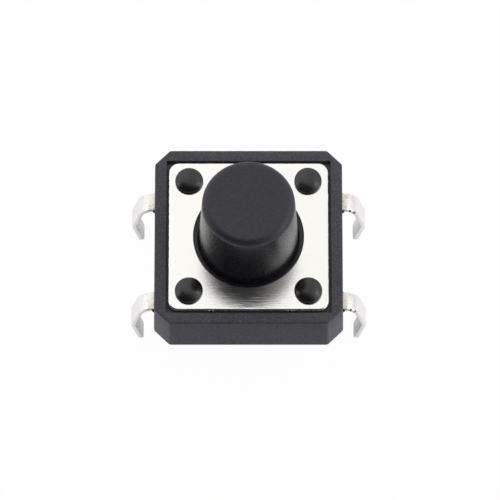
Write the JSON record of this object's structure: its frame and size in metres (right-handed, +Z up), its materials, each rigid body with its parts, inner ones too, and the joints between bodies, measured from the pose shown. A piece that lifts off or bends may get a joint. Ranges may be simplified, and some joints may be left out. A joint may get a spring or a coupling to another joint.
{
  "type": "pushbutton switch",
  "caption": "Square black through-hole tactile pushbutton switch with a tall round tapered button, a bright cover plate held by round staked bosses, and kinked silver pins.",
  "frame": {"origin": "centre of the base's underside, in the plane that seats on the circuit board", "axes": "+Z up out of the button's top; +X towards the right-hand pair of pins; +Y towards the row of pins of the common terminal"},
  "size_m": [0.0152, 0.0122, 0.013],
  "materials": {
    "base_plastic": "matte moulded black",
    "plunger_plastic": "satin moulded black",
    "cover_steel": "bright, brushed from side to side",
    "dome_steel": "bright spring steel",
    "terminal_tin": "tin-plated brass, semi-bright silver"
  },
  "bodies": {
    "base": {"base": "base_plastic", "cover_plate": "cover_steel", "contact_dome": "dome_steel", "common_terminal": "terminal_tin", "centre_terminal": "terminal_tin"},
    "plunger": {"plunger": "plunger_plastic"}
  },
  "joints": [
    {"name": "plunger_press", "type": "slide", "parent": "base", "child": "plunger", "axis": [0, 0, -1], "range_m": [0, 0.0003], "stiffness_N_per_m": 5200, "deforming": ["contact_dome"]}
  ]
}
